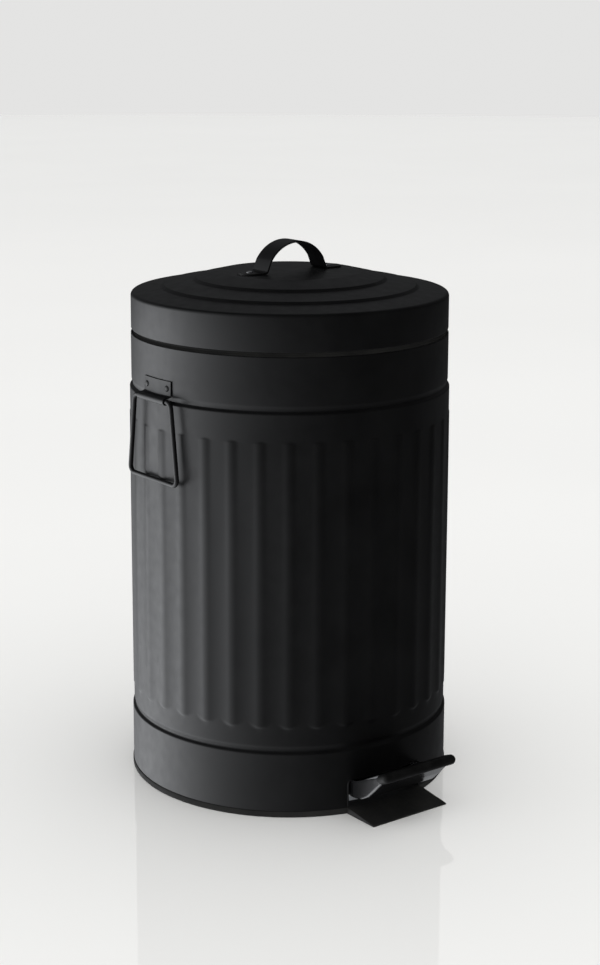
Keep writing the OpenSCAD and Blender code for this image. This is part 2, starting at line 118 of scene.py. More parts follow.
# Side handles: wire loops in rolled brackets
WIRE_R = 1.8
WIRE_PLAY = 0.05
LOOP_X = 129.7
LOOP_TOP = HIGH_GROOVE_Z + 0.4
LOOP_LOW = low("handle_left").z + WIRE_R
LOOP_HALF_TOP = 24.5
LOOP_HALF_LOW = 32.5
LOOP_BEND = 5.0
BRACKET_T = 1.0
BRACKET_GAP = 0.03
BRACKET_HALF = 18.0
BRACKET_TOP = high("handle_bracket_left").z

# Rivets: head radius and head height, then where they sit
RIVET_SHANK_R = 1.5
STRAP_HEAD = (2.8, 1.25)
WALL_HEAD = (2.4, 1.1)
RIVET_Z = 326.0
RIVET_SPREAD = math.radians(6.1)
HINGE_PLATE_T = 1.5
HINGE_RIVET_Z = 341.0
HINGE_RIVET_SPREAD = math.radians(8)
LID_RIVET_Z = 375.0
LID_RIVET_SPREAD = math.radians(2.5)

# Pedal; the lever's belly is (y, z, corner radius) and its crest (y, z), both from front to rear
LEVER_HALF = 33.0
LEVER_T = 1.5
LEVER_BEND = 1.8
BELLY = [(-165, 38.5, 0), (-159, 34, 8), (-152, 26.5, 10), (-144, 19, 10), (-136, 14.5, 10),
         (-128, 13, 10), (-112, 12.4, 0)]
CREST = [(-165, 40.4), (-163, 41), (-150, 36.6), (-126, 26.4), (-112, 26)]
PIVOT = Vector((0, -108, 20))
AXLE_R = 2.0
HUB_R = 4.5
ARM_W = 18.0
PAD_R = 3.9
PAD_FLAT = 2.5
PAD_TILT = math.radians(-22)
PAD_MIDDLE = (0, -161.5, 40)

# Base ring, with the foot under the pedal, the axle's ears and the screw bosses
RIM_OUT = 0.6
RIM_H = 4.8
RING_LEDGE_R = 116.0
RING_IN_R = 121.5
RING_TOP = 35.9
FOOT_W = 73.0
FOOT_TIP_H = 1.2
RING_FLOOR = 5.0
EAR_X = 39.0
EAR_T = 6.0
BOSS_RING_R = 116.5
BOSS_R = 6.0
BOSS_ANGLES = (60, 120, 210, 330)
SCREW_R = 1.8
SCREW_HEAD_R = 3.6
SCREW_HEAD_H = 3.0

# Neck ring, in the gap between body and lid
NECK_T = 2.2
NECK_LOW = 342.0
LEDGE_R = 107.4
LEDGE_LOW = 356.0
LEDGE_TOP = 358.0
COLLAR_R = 120.6
COLLAR_TOP = 384.0

# Bucket and its bail
BUCKET_RIM_Z = 358.05
BUCKET_RIM_H = 2.0
BUCKET_RIM_R = 110.4
BUCKET_TOP_R = 106.6
BUCKET_FOOT_R = 90.5
BUCKET_T = 1.6
RECESS_R = 78.0
RECESS_H = 2.4
LUG_X = 109.0
LUG_HALF = 6.0
LUG_T = 2.4
BAIL_Z = 364.4
BAIL_R = 104.0
BAIL_END = 110.9
BAIL_HOOK = 3.0
BAIL_WIRE_R = 1.5

# Lift rod: across the lever's arm, back to the rear wall and up to the crank
ROD_R = 2.0
ROD_Y = 118.0
ROD_BEND = 8.0
ROD_CROSS_HALF = 8.0


# --- Mesh helpers ----------------------------------------------------------------------------
def shade(mesh, sharp_deg):
    """Smooth faces, with edges sharper than the angle kept sharp."""
    for face in mesh.polygons:
        face.use_smooth = True
    mesh.set_sharp_from_angle(angle=math.radians(sharp_deg))


def make_piece(name, points, faces, sharp_deg=35.0):
    """An object from points in millimetres; its normals are made to face outwards."""
    bm = bmesh.new()
    verts = [bm.verts.new((x * MM, y * MM, z * MM)) for x, y, z in points]
    for face in faces:
        bm.faces.new([verts[i] for i in face])
    bmesh.ops.remove_doubles(bm, verts=bm.verts, dist=1e-6)
    bmesh.ops.dissolve_degenerate(bm, edges=bm.edges, dist=1e-7)
    bmesh.ops.recalc_face_normals(bm, faces=bm.faces)
    mesh = bpy.data.meshes.new(name)
    bm.to_mesh(mesh)
    bm.free()
    shade(mesh, sharp_deg)
    piece = bpy.data.objects.new(name, mesh)
    bpy.context.scene.collection.objects.link(piece)
    return piece


def rounded(corners, steps=5, closed=True):
    """Points of an outline whose corners (x, y, radius) are turned into arcs."""
    out = []
    count = len(corners)
    for i, (x, y, radius) in enumerate(corners):
        here = Vector((x, y))
        if radius <= 0 or (not closed and i in (0, count - 1)):
            out.append((x, y))
            continue
        before = Vector(corners[i - 1][:2]) - here
        after = Vector(corners[(i + 1) % count][:2]) - here
        half = before.angle(after) / 2
        back = min(radius / math.tan(half), 0.49 * before.length, 0.49 * after.length)
        start = here + before.normalized() * back
        end = here + after.normalized() * back
        for k in range(steps + 1):
            t = k / steps
            # A conic through the corner that is very near an arc for these turns
            weight = math.sin(half)
            w0, w1, w2 = (1 - t) ** 2, 2 * t * (1 - t) * weight, t ** 2
            p = (start * w0 + here * w1 + end * w2) / (w0 + w1 + w2)
            out.append((p.x, p.y))
    return out


def lathe(name, outline, segments=192, sharp_deg=35.0):
    """A closed outline of (radius, z), turned round the Z axis."""
    points, faces = [], []
    count = len(outline)
    for s in range(segments):
        c, d = math.cos(TAU * s / segments), math.sin(TAU * s / segments)
        points += [(max(r, 0.0) * c, max(r, 0.0) * d, z) for r, z in outline]
    for s in range(segments):
        here, there = s * count, ((s + 1) % segments) * count
        for i in range(count):
            j = (i + 1) % count
            if outline[i][0] <= 0 and outline[j][0] <= 0:
                continue
            faces.append((here + i, there + i, there + j, here + j))
    return make_piece(name, points, merge_axis(faces, outline), sharp_deg)


def merge_axis(faces, outline):
    """Lets every turn of an outline point that lies on the axis use one shared point."""
    count = len(outline)
    on_axis = {i for i in range(count) if outline[i][0] <= 0}
    merged = [dict.fromkeys(v % count if v % count in on_axis else v for v in face) for face in faces]
    return [tuple(face) for face in merged if len(face) > 2]


def thick_grid(name, columns, rows, surface, thickness, wrap=False, sharp_deg=35.0):
    """A closed sheet over a grid: surface(u, v) is one side, and the other lies under it.

    The surface's normal is the cross product of its u and v directions."""
    nu, nv = len(columns), len(rows)
    outer = [[Vector(surface(u, v)) for v in rows] for u in columns]
    inner = []
    for i in range(nu):
        line = []
        for j in range(nv):
            left = outer[(i - 1) % nu] if wrap or i > 0 else outer[i]
            right = outer[(i + 1) % nu] if wrap or i < nu - 1 else outer[i]
            du = right[j] - left[j]
            dv = outer[i][min(j + 1, nv - 1)] - outer[i][max(j - 1, 0)]
            line.append(outer[i][j] - du.cross(dv).normalized() * thickness)
        inner.append(line)
    points = [p for line in outer for p in line] + [p for line in inner for p in line]
    half = nu * nv
    faces = []
    for i in range(nu if wrap else nu - 1):
        k = (i + 1) % nu
        for j in range(nv - 1):
            a, b, c, d = i * nv + j, k * nv + j, k * nv + j + 1, i * nv + j + 1
            faces.append((a, b, c, d))
            faces.append((half + d, half + c, half + b, half + a))
        for j in (0, nv - 1):
            a, b = i * nv + j, k * nv + j
            faces.append((a, b, half + b, half + a))
    if not wrap:
        for i in (0, nu - 1):
            for j in range(nv - 1):
                a, b = i * nv + j, i * nv + j + 1
                faces.append((a, b, half + b, half + a))
    return make_piece(name, points, faces, sharp_deg)


def bent_path(corners, radius, steps=8, closed=False):
    """Points of a 3-D path whose corners are rounded to one radius."""
    out = []
    count = len(corners)
    for i, corner in enumerate(corners):
        here = Vector(corner)
        if not closed and i in (0, count - 1):
            out.append(here)
            continue
        before = Vector(corners[i - 1]) - here
        after = Vector(corners[(i + 1) % count]) - here
        half = before.angle(after) / 2
        back = radius / math.tan(half)
        towards = (before.normalized() + after.normalized()).normalized()
        middle = here + towards * radius / math.sin(half)
        first = here + before.normalized() * back - middle
        last = here + after.normalized() * back - middle
        turn = first.angle(last)
        axis = first.cross(last).normalized()
        for k in range(steps + 1):
            out.append(middle + Matrix.Rotation(turn * k / steps, 3, axis) @ first)
    return out


def tube(name, path, radius, sides=20, closed=False, sharp_deg=50.0):
    """A round bar along a path of points, with flat ends unless it is closed."""
    path = [Vector(p) for p in path]
    count = len(path)
    points, faces = [], []
    side = None
    for i, p in enumerate(path):
        if closed:
            ahead = (path[(i + 1) % count] - path[i - 1]).normalized()
        else:
            ahead = (path[min(i + 1, count - 1)] - path[max(i - 1, 0)]).normalized()
        if side is None:
            side = ahead.orthogonal().normalized()
        side = (side - ahead * side.dot(ahead)).normalized()
        up = ahead.cross(side)
        for k in range(sides):
            a = TAU * k / sides
            points.append(p + (side * math.cos(a) + up * math.sin(a)) * radius)
    for i in range(count if closed else count - 1):
        here, there = i * sides, ((i + 1) % count) * sides
        for k in range(sides):
            m = (k + 1) % sides
            faces.append((here + k, here + m, there + m, there + k))
    if not closed:
        faces.append(tuple(range(sides)))
        faces.append(tuple(range((count - 1) * sides, count * sides)))
    return make_piece(name, points, faces, sharp_deg)


def slab(name, outline, depth, plane="yz", sharp_deg=35.0):
    """A flat outline given depth: along X for one in YZ, or upwards from z = 0 for one in XY."""
    count = len(outline)
    if plane == "yz":
        points = [(s * depth / 2, a, b) for s in (-1, 1) for a, b in outline]
    else:
        points = [(a, b, s * depth) for s in (0, 1) for a, b in outline]
    faces = [tuple(range(count)), tuple(range(2 * count - 1, count - 1, -1))]
    faces += [(i, (i + 1) % count, count + (i + 1) % count, count + i) for i in range(count)]
    return make_piece(name, points, faces, sharp_deg)


def place(piece, offset=(0, 0, 0), turn=0.0, axis="Z"):
    """Turns a piece's mesh about the origin and moves it, in millimetres."""
    move = Matrix.Translation(Vector(offset) * MM) @ Matrix.Rotation(turn, 4, axis)
    piece.data.transform(move)
    return piece


def block_cutter(half, front, back, bottom, top):
    """A block to cut away: half its width along X, and its ends along Y and Z."""
    outline = [(-half, front), (half, front), (half, back), (-half, back)]
    return place(slab("cutter", outline, top - bottom, plane="xy"), (0, 0, bottom))


def bore_cutter(radius, half, middle):
    """A round bar to cut away, along X."""
    outline = [(0, -half), (radius, -half), (radius, half), (0, half)]
    return place(lathe("cutter", outline, 32), middle, math.pi / 2, "Y")


def baked(piece):
    """Applies a piece's modifiers to its mesh."""
    graph = bpy.context.evaluated_depsgraph_get()
    mesh = bpy.data.meshes.new_from_object(piece.evaluated_get(graph))
    piece.modifiers.clear()
    piece.data = mesh
    return piece


def boolean(piece, tool, operation="DIFFERENCE", sharp_deg=35.0):
    """Cuts a tool out of a piece, or joins it on, and removes the tool."""
    step = piece.modifiers.new("boolean", "BOOLEAN")
    step.object = tool
    step.operation = operation
    step.solver = "EXACT"
    baked(piece)
    bpy.data.objects.remove(tool)
    shade(piece.data, sharp_deg)
    return piece


def joined(name, pieces, sharp_deg=35.0):
    """One object that holds the meshes of several."""
    bm = bmesh.new()
    for piece in pieces:
        bm.from_mesh(piece.data)
        bpy.data.objects.remove(piece)
    mesh = bpy.data.meshes.new(name)
    bm.to_mesh(mesh)
    bm.free()
    shade(mesh, sharp_deg)
    whole = bpy.data.objects.new(name, mesh)
    bpy.context.scene.collection.objects.link(whole)
    return whole


def soften(piece, width, segments=3, limit_deg=38.0):
    """Rounds a piece's sharp edges by a small bevel."""
    step = piece.modifiers.new("soft_edges", "BEVEL")
    step.width = width * MM
    step.segments = segments
    step.limit_method = "ANGLE"
    step.angle_limit = math.radians(limit_deg)
    step.use_clamp_overlap = True
    return piece


def finish_piece(piece, material, body, slot, *nodes):
    """Gives a piece its material and body, and hides the CAD nodes it stands for; the record slot argument is
    not used.
    """
    piece.data.materials.clear()
    piece.data.materials.append(material)
    if nodes:
        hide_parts(*nodes)
    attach(piece, body)
    return piece


# --- Materials -------------------------------------------------------------------------------
class Shader:
    """A Principled material with a few short ways to add nodes."""

    def __init__(self, name):
        self.material = bpy.data.materials.new(name)
        self.material.use_nodes = True
        self.nodes = self.material.node_tree.nodes
        self.links = self.material.node_tree.links
        self.main = self.nodes["Principled BSDF"]
        self.place = self.nodes.new("ShaderNodeTexCoord").outputs["Object"]

    def set(self, **values):
        for key, value in values.items():
            self.main.inputs[key.replace("_", " ")].default_value = value

    def noise(self, scale, detail=2.0, rough=0.5, stretch=(1, 1, 1)):
        place_node = self.nodes.new("ShaderNodeMapping")
        place_node.inputs["Scale"].default_value = stretch
        self.links.new(self.place, place_node.inputs["Vector"])
        node = self.nodes.new("ShaderNodeTexNoise")
        node.inputs["Scale"].default_value = scale
        node.inputs["Detail"].default_value = detail
        node.inputs["Roughness"].default_value = rough
        self.links.new(place_node.outputs["Vector"], node.inputs["Vector"])
        return node.outputs["Fac"]

    def spread(self, source, low_out, high_out, low_in=0.3, high_in=0.7):
        node = self.nodes.new("ShaderNodeMapRange")
        node.inputs["From Min"].default_value = low_in
        node.inputs["From Max"].default_value = high_in
        node.inputs["To Min"].default_value = low_out
        node.inputs["To Max"].default_value = high_out
        self.links.new(source, node.inputs["Value"])
        return node.outputs["Result"]

    def tint(self, source, dark, light):
        node = self.nodes.new("ShaderNodeMix")
        node.data_type = "RGBA"
        node.inputs["A"].default_value = (*dark, 1)
        node.inputs["B"].default_value = (*light, 1)
        self.links.new(source, node.inputs["Factor"])
        return node.outputs["Result"]

    def bump(self, source, distance, strength=1.0, under=None):
        node = self.nodes.new("ShaderNodeBump")
        node.inputs["Distance"].default_value = distance * MM
        node.inputs["Strength"].default_value = strength
        self.links.new(source, node.inputs["Height"])
        if under is not None:
            self.links.new(under, node.inputs["Normal"])
        return node.outputs["Normal"]

    def wire(self, source, key):
        self.links.new(source, self.main.inputs[key])

    def colour(self, patches, dark, light, low_in=0.3, high_in=0.7):
        """A base colour that wanders between two tones."""
        self.wire(self.tint(self.spread(patches, 0, 1, low_in, high_in), dark, light), "Base Color")

    def roughness(self, patches, smooth, rough):
        self.wire(self.spread(patches, smooth, rough), "Roughness")


def satin_paint():
    """Satin black powder coat: fine orange peel over slight waves of the sheet."""
    s = Shader("satin_black_paint")
    s.colour(s.noise(30, 4), (0.0022, 0.0022, 0.0025), (0.0038, 0.0038, 0.0042))
    s.roughness(s.noise(120, 3), 0.36, 0.43)
    sheet_waves = s.bump(s.noise(11, 1), 0.5, 0.5)
    s.wire(s.bump(s.noise(1400, 2), 0.03, 0.5, under=sheet_waves), "Normal")
    s.set(Specular_IOR_Level=0.5)
    return s.material


def gloss_enamel():
    """Gloss black enamel over pressed steel."""
    s = Shader("gloss_black_enamel")
    s.colour(s.noise(40, 3), (0.008, 0.008, 0.009), (0.013, 0.013, 0.014))
    s.roughness(s.noise(60, 3), 0.16, 0.24)
    s.wire(s.bump(s.noise(160, 2), 0.06, 0.35), "Normal")
    s.set(Coat_Weight=0.5, Coat_Roughness=0.08)
    return s.material


def moulded_plastic(name, dark, light, roughness, grain, gloss):
    """Moulded plastic with a spark-eroded grain."""
    s = Shader(name)
    s.colour(s.noise(50, 3), dark, light)
    s.roughness(s.noise(260, 3), *roughness)
    s.wire(s.bump(s.noise(grain, 3, 0.6), 0.05, 0.6), "Normal")
    s.set(Specular_IOR_Level=gloss)
    return s.material


def rubber():
    """Soft matt rubber with a fine grain and dust in it."""
    s = Shader("matt_rubber")
    s.colour(s.noise(90, 5), (0.003, 0.003, 0.003), (0.008, 0.008, 0.008), 0.45, 0.75)
    s.roughness(s.noise(300, 3), 0.48, 0.60)
    s.wire(s.bump(s.noise(1600, 3, 0.6), 0.06, 0.7), "Normal")
    s.set(Specular_IOR_Level=0.35)
    return s.material


def plated_steel(name, dark, light, roughness, streak):
    """Plated steel with drawing marks along the streak and a faint blotchy plating."""
    s = Shader(name)
    s.colour(s.noise(70, 4), dark, light)
    s.roughness(s.noise(500, 2, stretch=streak), *roughness)
    s.wire(s.bump(s.noise(900, 2, stretch=streak), 0.02, 0.5), "Normal")
    s.set(Metallic=1.0)
    return s.material


def pale_floor():
    """Pale polished floor: a matt body under a clear mirror-smooth surface."""
    s = Shader("pale_floor")
    s.colour(s.noise(1.5, 2), (0.92, 0.92, 0.91), (0.94, 0.94, 0.93))
    s.set(Roughness=0.0, IOR=1.38)
    return s.material


PAINT = satin_paint()
ENAMEL = gloss_enamel()
PLASTIC = moulded_plastic("black_plastic", (0.013, 0.013, 0.013), (0.019, 0.019, 0.018),
                          roughness=(0.50, 0.62), grain=1300, gloss=0.06)
BUCKET_PLASTIC = moulded_plastic("bucket_plastic", (0.020, 0.020, 0.021), (0.028, 0.028, 0.029),
                                 roughness=(0.38, 0.48), grain=900, gloss=0.5)
RUBBER = rubber()
ZINC = plated_steel("zinc_plate", (0.50, 0.51, 0.54), (0.66, 0.67, 0.69),
                    roughness=(0.28, 0.42), streak=(1, 1, 0.08))
RIVET = plated_steel("bright_rivet", (0.55, 0.55, 0.56), (0.70, 0.70, 0.71),
                     roughness=(0.18, 0.30), streak=(1, 1, 1))


# --- Camera, floor and lights ----------------------------------------------------------------
PHOTO_AZIMUTH = math.radians(-37.0)
CAMERA_REACH = 1.531
CAMERA_HEIGHT = 0.614
CAMERA_PITCH = math.radians(12.25)
CAMERA_YAW = math.radians(-0.31)
CAMERA_ROLL = math.radians(0.2)
FOCAL = 73.24
SENSOR = 36.0
SHIFT_Y = -0.06218

# The world's brightness for the camera and mirrors, for matt surfaces, and in the dark studio
PALE = 0.775
FLOOR_LIGHT = 1.05
DIM = 0.003


def add_camera():
    """A camera at the viewing angle of the reference, looking a little down at the can."""
    data = bpy.data.cameras.new("camera")
    data.lens = FOCAL
    data.sensor_width = SENSOR
    data.shift_y = SHIFT_Y
    camera = bpy.data.objects.new("camera", data)
    bpy.context.scene.collection.objects.link(camera)
    swing = Matrix.Rotation(PHOTO_AZIMUTH + CAMERA_YAW, 4, "Z")
    tilt = Matrix.Rotation(math.pi / 2 - CAMERA_PITCH, 4, "X")
    roll = Matrix.Rotation(CAMERA_ROLL, 4, "Z")
    spot = Matrix.Rotation(PHOTO_AZIMUTH, 4, "Z") @ Vector((0, -CAMERA_REACH, CAMERA_HEIGHT))
    camera.matrix_world = Matrix.Translation(spot) @ swing @ tilt @ roll
    bpy.context.scene.camera = camera


def bearing(azimuth_deg, elevation_deg):
    """Unit vector from the can, at an azimuth measured from the camera's own, positive to its right."""
    a, e = PHOTO_AZIMUTH + math.radians(azimuth_deg), math.radians(elevation_deg)
    return math.sin(a) * math.cos(e), -math.cos(a) * math.cos(e), math.sin(e)


# Centre, brightness and narrowness of each glow, and the direction towards which the left ones die away
KEY_GLOW = (bearing(-100, -16), 1.1, 8.2)
WIDE_GLOW = (bearing(-105, -28), 1.95, 2.35)
REAR_GLOW = (bearing(180, 40), 0.14, 6.0)
FAR_SIDE = Vector(bearing(180, 0)) + Vector((0, 0, 1))
FADE_START = 0.1
FADE_END = 1.0
FADE_LEFT = 0.03


def add_world():
    """Pale to the camera, to matt surfaces and in the floor's mirror. Gloss sees a dark studio instead,
    with broad soft glows low on the left and a weaker one behind."""
    world = bpy.data.worlds.new("studio")
    world.use_nodes = True
    nodes, links = world.node_tree.nodes, world.node_tree.links

    def maths(operation, *values):
        node = nodes.new("ShaderNodeMath")
        node.operation = operation
        for socket, value in zip(node.inputs, values):
            if isinstance(value, float):
                socket.default_value = value
            else:
                links.new(value, socket)
        return node.outputs["Value"]

    direction = nodes.new("ShaderNodeTexCoord").outputs["Generated"]

    def towards(centre):
        """How far the looked-at direction points along another."""
        dot = nodes.new("ShaderNodeVectorMath")
        dot.operation = "DOT_PRODUCT"
        links.new(direction, dot.inputs[0])
        dot.inputs[1].default_value = centre
        return dot.outputs["Value"]

    def glow(centre, power, narrowness):
        """A glow that falls off smoothly with the angle from its centre."""
        fall = maths("EXPONENT", maths("MULTIPLY_ADD", towards(centre), narrowness, -narrowness))
        return maths("MULTIPLY", fall, power)

    def faded(glows):
        """The glows, dying away towards the far side."""
        fade = nodes.new("ShaderNodeMapRange")
        fade.interpolation_type = "SMOOTHSTEP"
        fade.inputs["From Min"].default_value = FADE_START
        fade.inputs["From Max"].default_value = FADE_END
        fade.inputs["To Min"].default_value = 1.0
        fade.inputs["To Max"].default_value = FADE_LEFT
        links.new(towards(FAR_SIDE), fade.inputs["Value"])
        return maths("MULTIPLY", glows, fade.outputs["Result"])

    left = faded(maths("ADD", glow(*KEY_GLOW), glow(*WIDE_GLOW)))
    dark_room = maths("ADD", maths("ADD", left, glow(*REAR_GLOW)), DIM)
    path = nodes.new("ShaderNodeLightPath")
    seen = maths("MAXIMUM", path.outputs["Is Camera Ray"], path.outputs["Is Singular Ray"])

    def either(factor, first, second):
        """The first value where the factor is 0 and the second where it is 1."""
        node = nodes.new("ShaderNodeMix")
        links.new(factor, node.inputs["Factor"])
        links.new(first, node.inputs["A"])
        node.inputs["B"].default_value = second
        return node.outputs["Result"]

    strength = either(path.outputs["Is Diffuse Ray"], either(seen, dark_room, PALE), FLOOR_LIGHT)
    seen = maths("MAXIMUM", seen, path.outputs["Is Diffuse Ray"])
    cast = nodes.new("ShaderNodeMix")
    cast.data_type = "RGBA"
    cast.inputs["A"].default_value = (0.95, 0.97, 1.0, 1)
    cast.inputs["B"].default_value = (1.0, 0.998, 0.99, 1)
    links.new(seen, cast.inputs["Factor"])
    back = nodes["Background"]
    links.new(cast.outputs["Result"], back.inputs["Color"])
    links.new(strength, back.inputs["Strength"])
    bpy.context.scene.world = world


def add_studio():
    """Pale floor under the world's even light and soft glows."""
    bpy.ops.mesh.primitive_circle_add(vertices=96, radius=9, fill_type="NGON")
    floor = bpy.context.object
    floor.name = "floor"
    floor.data.materials.append(pale_floor())
    floor.visible_glossy = False
    floor.visible_diffuse = False
    floor.visible_shadow = False
    add_world()
    bpy.context.scene.view_settings.view_transform = "Standard"
    bpy.context.scene.cycles.use_denoising = True


# --- Body ------------------------------------------------------------------------------------
def bell(t):
    """A smooth bump: 1 at 0, and 0 from -1 and 1 outwards."""
    return math.cos(math.pi * t / 2) ** 2 if abs(t) < 1 else 0.0


def ease(t):
    """0 up to 0, 1 from 1 on, and smooth between them."""
    t = min(max(t, 0.0), 1.0)
    return t * t * (3 - 2 * t)


def spaced(start, end, step):
    """Evenly spaced values from start up to, but not with, end."""
    count = max(1, round((end - start) / step))
    return [start + (end - start) * k / count for k in range(count)]


def wall_radius(z):
    """Radius of the plain body wall: lower band, groove, ribbed wall, groove, upper band."""
    if z < (LOW_GROOVE_Z + HIGH_GROOVE_Z) / 2:
        below, above, middle = LOWER_R, WALL_R, LOW_GROOVE_Z
    else:
        below, above, middle = WALL_R, BAND_R, HIGH_GROOVE_Z
    if z < middle:
        return above - GROOVE_IN + (below - above + GROOVE_IN) * ease((middle - z) / GROOVE_FALL)
    return above - GROOVE_IN * bell((z - middle) / GROOVE_RISE)


def rib_out(angle, z):
    """How far the ribbed wall stands out: narrow ridges with round ends between shallow hollow flutes."""
    pitch = TAU / RIBS
    offset = (angle - RIB_FIRST + math.pi / 2 + pitch / 2) % pitch - pitch / 2
    across = abs(offset) * 2 / pitch
    if across < RIDGE_SHARE:
        rise = 1 - across ** 2 / RIDGE_SHARE
    else:
        rise = (1 - across) ** 2 / (1 - RIDGE_SHARE)
    along = ease((min(z - RIB_LOW, RIB_HIGH - z) - RIB_ROUND * across ** 2) / RIB_END)
    return RIB_OUT * rise * along


# Height from which the body's mesh rows have each spacing: fine at the grooves and the ribs' ends
ROW_ZONES = ((BODY_LOW + 1, 10), (LOW_GROOVE_Z - 5, 0.5), (LOW_GROOVE_Z + 5, 4), (RIB_LOW, 0.8),
             (RIB_LOW + 8, 66), (RIB_HIGH - 2, 0.8), (RIB_HIGH + 7, 4), (HIGH_GROOVE_Z - 4.6, 0.5),
             (HIGH_GROOVE_Z + 4.4, 12), (BODY_TOP - HEM_R, 0))


def wall_rows():
    """Heights of the body's mesh rows."""
    rows = [BODY_LOW]
    for (start, step), (end, _) in zip(ROW_ZONES, ROW_ZONES[1:]):
        rows += spaced(start, end, step)
    return rows + [BODY_TOP - HEM_R]


def on_wall(x, z, radius, side):
    """The point on a cylinder at x and z, on the side of the body that side (1 or -1) names."""
    return x, side * math.sqrt(radius ** 2 - x * x), z


def fine_path(points, step):
    """A flat path with more points, so that it can be wrapped round the body."""
    out = []
    for (x0, z0), (x1, z1) in zip(points, points[1:]):
        count = max(1, round(math.hypot(x1 - x0, z1 - z0) / step))
        out += [(x0 + (x1 - x0) * k / count, z0 + (z1 - z0) * k / count) for k in range(count)]
    return out + [points[-1]]


def opening(half, mouth, end, radius):
    """Outline of an opening that runs out at its mouth and has rounded corners at its end."""
    return [(-half, mouth, 0), (-half, end, radius), (half, end, radius), (half, mouth, 0)]


def build_body():
    """Corrugated sheet with the pedal's window and the crank's notch; window and top are hemmed."""
    steps = RIBS * STEPS_PER_RIB
    angles = [TAU * k / steps for k in range(steps)]

    def surface(angle, z):
        radius = wall_radius(z) + rib_out(angle, z)
        return radius * math.cos(angle), radius * math.sin(angle), z

    shell = thick_grid("body_sheet", angles, wall_rows(), surface, SHEET, wrap=True)
    depth = 30
    for outline, side in ((opening(WINDOW_HALF, WINDOW_LOW, WINDOW_TOP, WINDOW_ROUND), -1),
                          (opening(NOTCH_HALF, BODY_TOP + 13, NOTCH_LOW, NOTCH_ROUND), 1)):
        cutter = slab("cutter", rounded(outline), depth, plane="xy")
        place(cutter, (0, side * LOWER_R + depth / 2, 0), math.pi / 2, "X")
        boolean(shell, cutter, sharp_deg=30)
    edge = rounded(opening(WINDOW_HALF, BODY_LOW + HEM_R, WINDOW_TOP, WINDOW_ROUND), closed=False)
    curve = [on_wall(x, z, LOWER_R - SHEET / 2, -1) for x, z in fine_path(edge, 3)]
    window_hem = tube("hem", curve, HEM_R, sides=12)
    # The top hem goes round from one side of the notch to the other
    gap = math.asin(NOTCH_HALF / BAND_R)
    turns = [math.pi / 2 + gap + (TAU - 2 * gap) * k / 180 for k in range(181)]
    hem_mid = BAND_R - HEM_R
    circle = [(hem_mid * math.cos(a), hem_mid * math.sin(a), BODY_TOP - HEM_R) for a in turns]
    top_hem = tube("hem", circle, HEM_R, sides=12)
    whole = joined("body_sheet", [shell, window_hem, top_hem], 30)
    finish_piece(whole, PAINT, "can", "painted_steel", "body_shell")


# --- Lid -------------------------------------------------------------------------------------
def build_lid():
    """Stepped sheet lid with a straight skirt and a hem folded up inside the skirt's lower edge."""
    hem_r = LID_R - LID_HEM_T
    edge_z = SKIRT_LOW + 0.1
    corners = [(hem_r, SKIRT_LOW + LID_HEM_H, 0), (hem_r, edge_z, 0.55), (LID_R, edge_z, 0.55),
               (LID_R, SHOULDER_Z + 0.4, SHOULDER_ROUND)]
    for (foot_r, foot_h), (crest_r, crest_h) in LID_STEPS:
        corners += [(foot_r, SHOULDER_Z + foot_h, 1.6), (crest_r, SHOULDER_Z + crest_h, 1.4)]
    corners += [(DISC_R, DISC_Z, 12), (0, DISC_Z, 0)]
    outline = [(r, min(z, DISC_Z)) for r, z in rounded(corners, steps=6, closed=False)]
    # The sheet's inner side as far as the skirt, whose own inner side then runs down to the hem
    inner = []
    for i in range(len(outline) - 1, -1, -1):
        r0, z0 = outline[max(i - 1, 0)]
        r1, z1 = outline[min(i + 1, len(outline) - 1)]
        length = math.hypot(r1 - r0, z1 - z0)
        r, z = outline[i]
        if r > hem_r - 0.05 and z < SHOULDER_Z - 6:
            continue
        inner.append((max(r - (z1 - z0) / length * SHEET, 0), z + (r1 - r0) / length * SHEET))
    skirt_in = [(LID_R - SHEET, SKIRT_LOW + 5), (LID_R - SHEET, SKIRT_LOW + 3.9)]
    lid = lathe("lid_sheet", outline + inner + skirt_in, 240)
    finish_piece(lid, PAINT, "lid", "painted_steel", "lid_shell")


def build_strap():
    """Flat strap bent into an arch, with a round-ended foot at each side."""
    mid_z = DISC_Z + STRAP_GAP + STRAP_T / 2
    mid_r = ARCH_R - STRAP_T / 2
    arch_z = high("lid_handle").z - ARCH_R
    start = math.asin((mid_z + ARCH_LIFT - arch_z) / mid_r)
    arch = [(-mid_r * math.cos(a), arch_z + mid_r * math.sin(a))
            for a in [start + (math.pi - 2 * start) * k / 36 for k in range(37)]]
    # Left foot from its round end inwards, then the bend up into the arch
    left = [(-FOOT_REACH - STRAP_HALF * math.cos(math.pi / 2 * k / 8), mid_z) for k in range(9)]
    left += rounded([(-FOOT_REACH, mid_z, 0), (arch[0][0] - 0.15, mid_z, 2.6), (*arch[4], 0)],
                    steps=8, closed=False)[1:-1]
    path = left + arch[4:33] + [(-x, z) for x, z in reversed(left)]

    def half_width(x):
        past = max(abs(x) - FOOT_REACH, 0)
        return STRAP_HALF * math.sqrt(max(1 - (past / STRAP_HALF) ** 2, 0.0004))

    def surface(side, i):
        x, z = path[i]
        x0, z0 = path[max(i - 1, 0)]
        x1, z1 = path[min(i + 1, len(path) - 1)]
        length = math.hypot(x1 - x0, z1 - z0)
        out_x, out_z = -(z1 - z0) / length, (x1 - x0) / length
        return x + out_x * STRAP_T / 2, side * half_width(x), z + out_z * STRAP_T / 2

    strap = thick_grid("strap", [1, 0.5, 0, -0.5, -1], range(len(path)), surface, STRAP_T, sharp_deg=40)
    soften(strap, 0.3)
    finish_piece(strap, PAINT, "lid", "painted_steel", "lid_handle")


